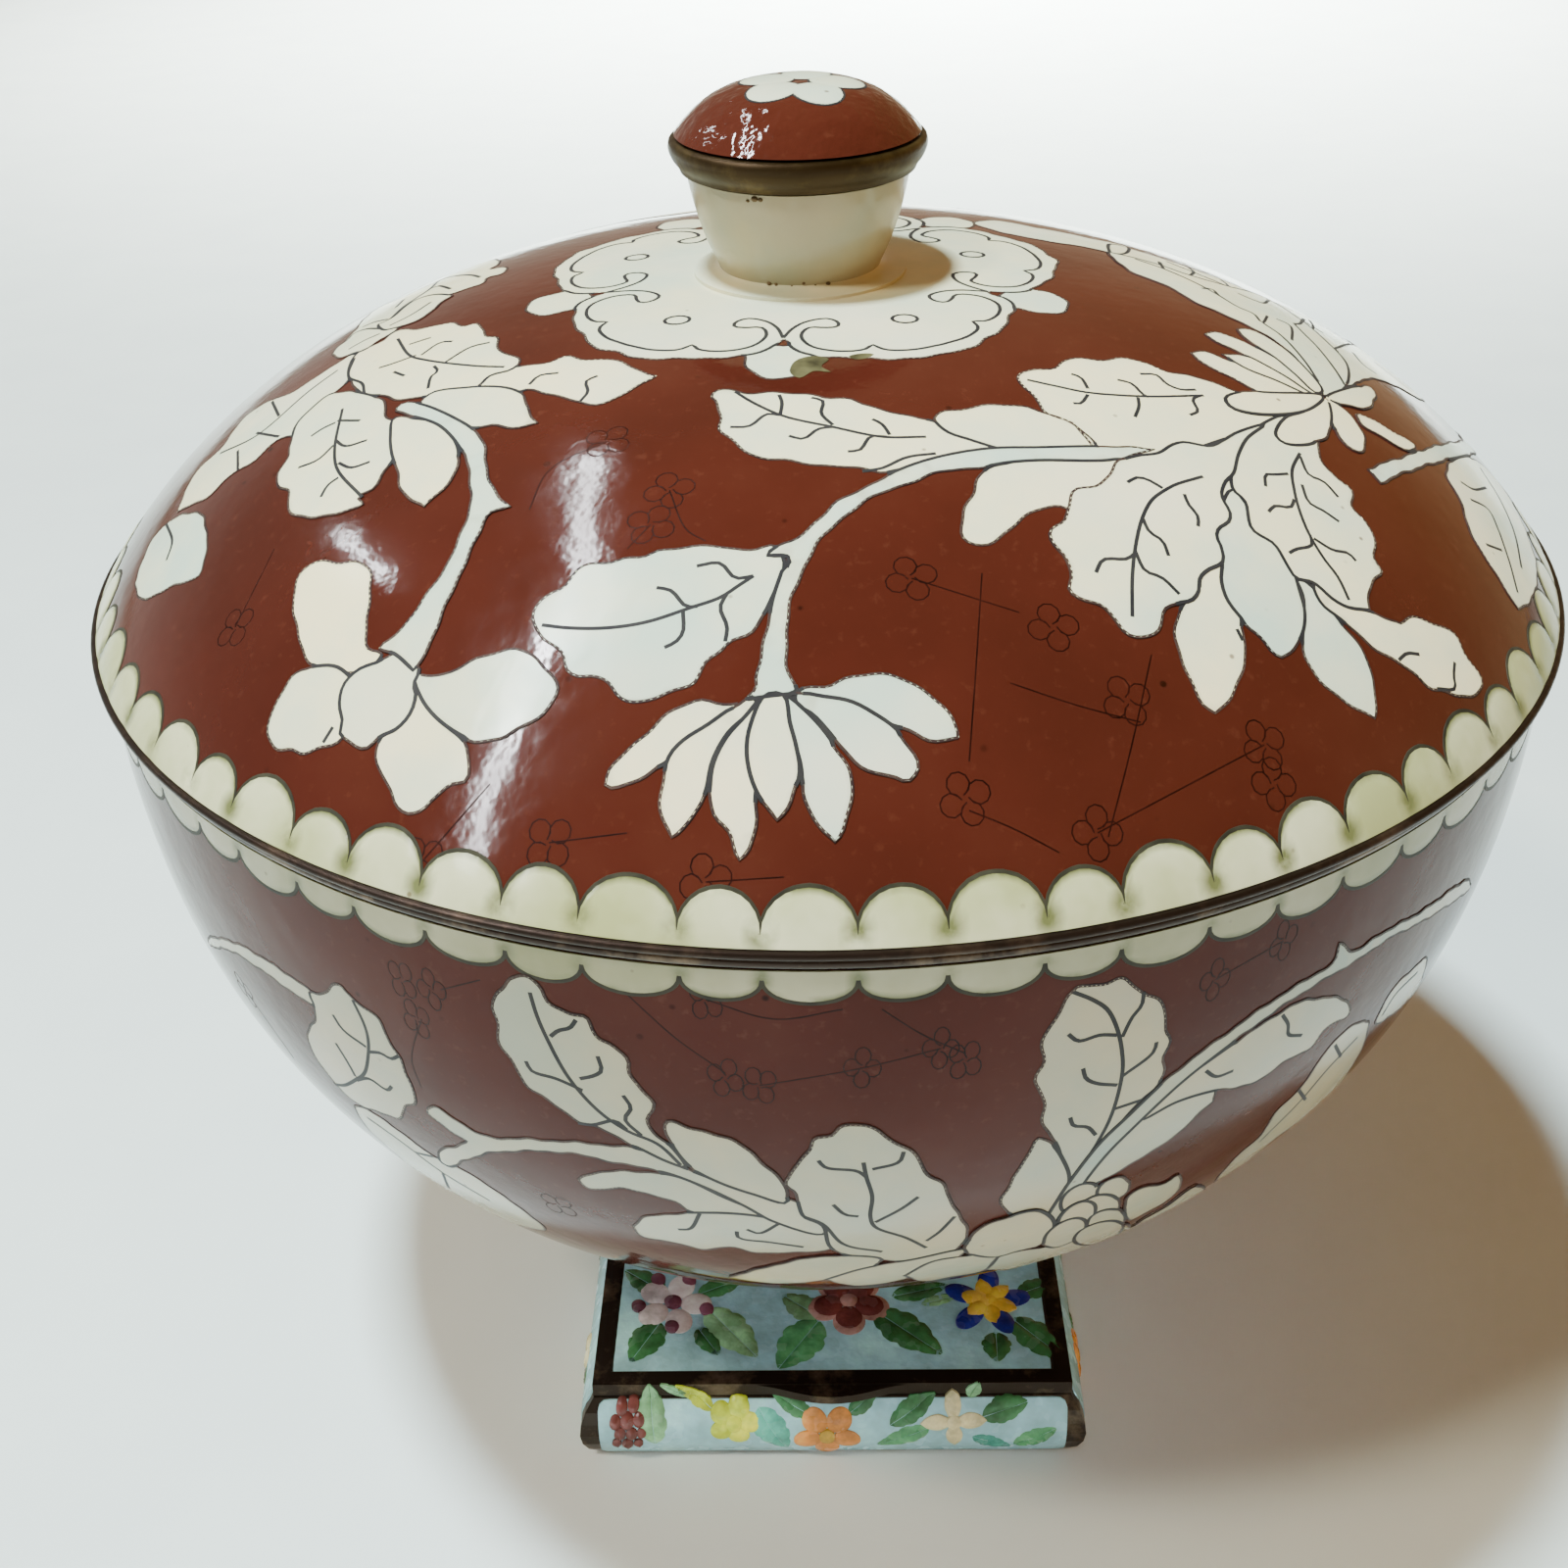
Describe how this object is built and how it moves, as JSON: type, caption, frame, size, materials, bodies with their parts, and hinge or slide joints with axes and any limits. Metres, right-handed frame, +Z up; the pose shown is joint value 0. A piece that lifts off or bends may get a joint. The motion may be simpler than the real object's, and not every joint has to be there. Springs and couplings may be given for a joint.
{
  "type": "cloisonne lidded jar",
  "caption": "Round covered jar with a domed lid, a mushroom knob and a flared foot ring, standing on a shallow enamelled casket with a lift-off lid.",
  "frame": {"origin": "centre of the stand's underside, on the jar's axis", "axes": "+Z up along the jar's axis; -Y is the front, where the stand's thumb lip is; +X to the right seen from the front"},
  "size_m": [0.18, 0.18, 0.1752],
  "materials": {
    "bowl_enamel": "glossy fired enamel on copper, brick red with white sprays and thin dark wires",
    "lid_enamel": "glossy fired enamel on copper, brick red with white sprays and thin dark wires",
    "white_enamel": "glossy cream white enamel, slightly pitted",
    "knob_enamel": "glossy brick red enamel with a white blossom",
    "rim_brass": "dark brown patinated brass, rubbed bright in places",
    "collar_brass": "olive brown patinated brass",
    "casket_enamel": "pale blue enamel with raised flowers between dark metal edges"
  },
  "bodies": {
    "root": {"bowl": "bowl_enamel", "bowl_rim": "rim_brass", "lid": "lid_enamel", "lid_rim": "rim_brass", "knob_neck": "white_enamel", "knob_collar": "collar_brass", "knob_cap": "knob_enamel", "stand_case": "casket_enamel", "stand_lid": "casket_enamel"}
  },
  "joints": []
}
